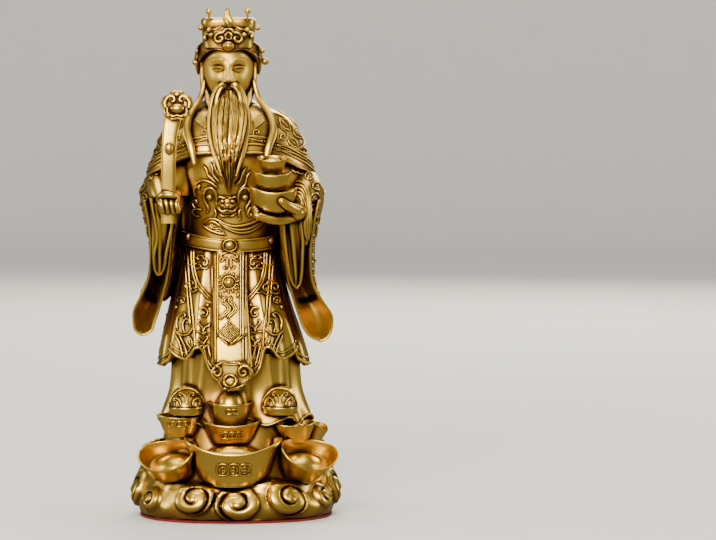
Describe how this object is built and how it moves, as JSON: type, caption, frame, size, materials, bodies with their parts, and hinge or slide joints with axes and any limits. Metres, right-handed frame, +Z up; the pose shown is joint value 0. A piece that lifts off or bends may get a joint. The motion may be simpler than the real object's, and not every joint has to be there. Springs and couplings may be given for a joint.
{
  "type": "caishen figure",
  "caption": "Cast brass standing figure of the god of wealth with ruyi sceptre and gold ingots, on a base of clouds.",
  "frame": {"origin": "middle of the base, on the surface that the figure stands on", "axes": "+Z up along the figure's height, the figure faces -Y, +X to the viewer's right seen from the front"},
  "size_m": [0.0889, 0.0733, 0.2126],
  "materials": {
    "brass": "antiqued cast brass, dark brown in the hollows and rubbed bright on the high places",
    "felt": "matt red felt"
  },
  "bodies": {
    "root": {"caishen_figure": "brass", "felt_pad": "felt"}
  },
  "joints": []
}
